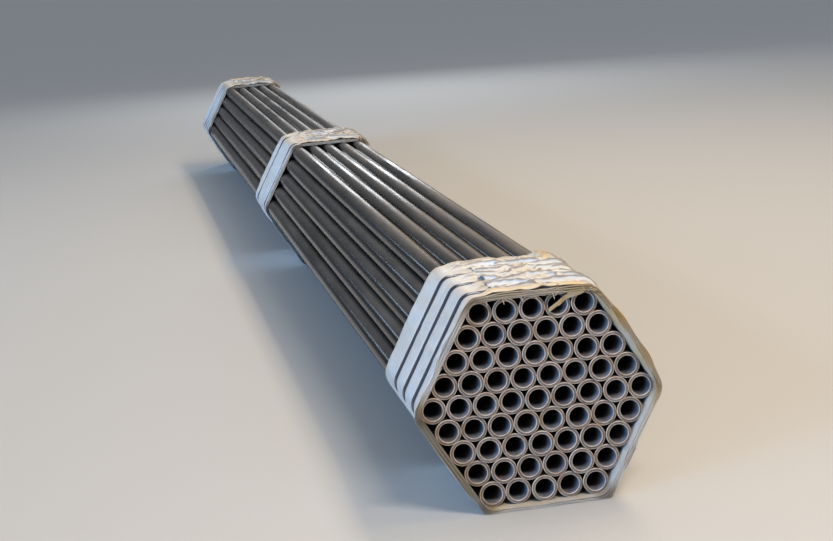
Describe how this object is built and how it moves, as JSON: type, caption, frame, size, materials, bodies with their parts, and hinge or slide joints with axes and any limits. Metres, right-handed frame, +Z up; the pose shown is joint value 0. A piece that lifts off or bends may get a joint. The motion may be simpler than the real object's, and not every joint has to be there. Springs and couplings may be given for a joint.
{
  "type": "bundle of steel pipes",
  "caption": "Hexagonal bundle of long round steel pipes lying flat, bound by steel straps over woven cloth wraps at both ends and the middle.",
  "frame": {"origin": "on the ground, under the middle of the bundle: the bottom centre of its box", "axes": "+Y along the pipes (the end shown in front in the picture is towards -Y), +X across, +Z up"},
  "size_m": [0.4558, 6.04, 0.399],
  "materials": {
    "pipe_steel": "gloss",
    "wrap_cloth": "matte",
    "strap_steel": "satin",
    "seal_steel": "satin"
  },
  "bodies": {
    "root": {"pipe_row_1": "pipe_steel", "pipe_row_2": "pipe_steel", "pipe_row_3": "pipe_steel", "pipe_row_4": "pipe_steel", "pipe_row_5": "pipe_steel", "pipe_row_6": "pipe_steel", "pipe_row_7": "pipe_steel", "pipe_row_8": "pipe_steel", "pipe_row_9": "pipe_steel", "wrap_front": "wrap_cloth", "wrap_middle": "wrap_cloth", "wrap_rear": "wrap_cloth", "strap_front_1": "strap_steel", "strap_front_2": "strap_steel", "strap_front_3": "strap_steel", "strap_middle_1": "strap_steel", "strap_middle_2": "strap_steel", "strap_rear_1": "strap_steel", "strap_rear_2": "strap_steel", "strap_rear_3": "strap_steel", "seal_front_1": "seal_steel", "seal_front_2": "seal_steel", "seal_front_3": "seal_steel", "seal_middle_1": "seal_steel", "seal_middle_2": "seal_steel", "seal_rear_1": "seal_steel", "seal_rear_2": "seal_steel", "seal_rear_3": "seal_steel"}
  },
  "joints": []
}
